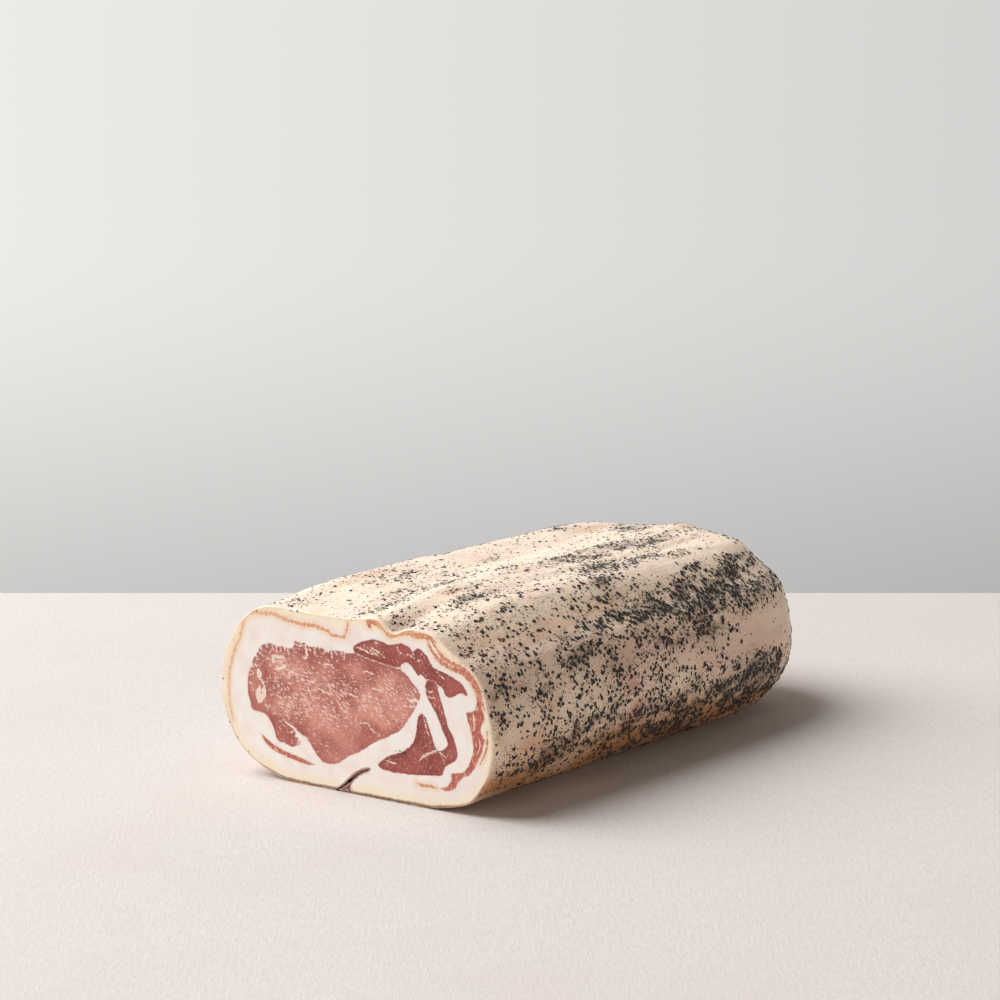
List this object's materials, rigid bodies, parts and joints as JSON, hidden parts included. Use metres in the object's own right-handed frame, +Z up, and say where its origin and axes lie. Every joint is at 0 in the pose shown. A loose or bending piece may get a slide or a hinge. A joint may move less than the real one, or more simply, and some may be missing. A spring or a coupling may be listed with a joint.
{
  "type": "rolled pancetta",
  "caption": "Rolled cured pork belly round a loin eye, flattened oval, cut square at one end and rounded at the other, coated with cracked pepper.",
  "frame": {"origin": "centre of the bounding box at the surface that the roll rests on", "axes": "+X runs along the roll from the cut face to the rounded end, +Y across it, +Z up from the flattened underside"},
  "size_m": [0.298, 0.1603, 0.0883],
  "materials": {
    "peppered_fat": "cured fat, cream and tan, dusted with cracked black pepper, slightly greasy",
    "loin_lean": "cured loin, rose red with fine pale marbling, moist",
    "dark_lean": "cured belly lean, darker red with pale flecks, moist",
    "streak_lean": "thin feathery lean streak, red brown, moist"
  },
  "bodies": {
    "root": {"fat_roll": "peppered_fat", "lean_eye": "loin_lean", "lean_flank_upper": "dark_lean", "lean_flank_lower": "dark_lean", "lean_rim_streak": "streak_lean", "lean_lower_streak": "streak_lean"}
  },
  "joints": []
}
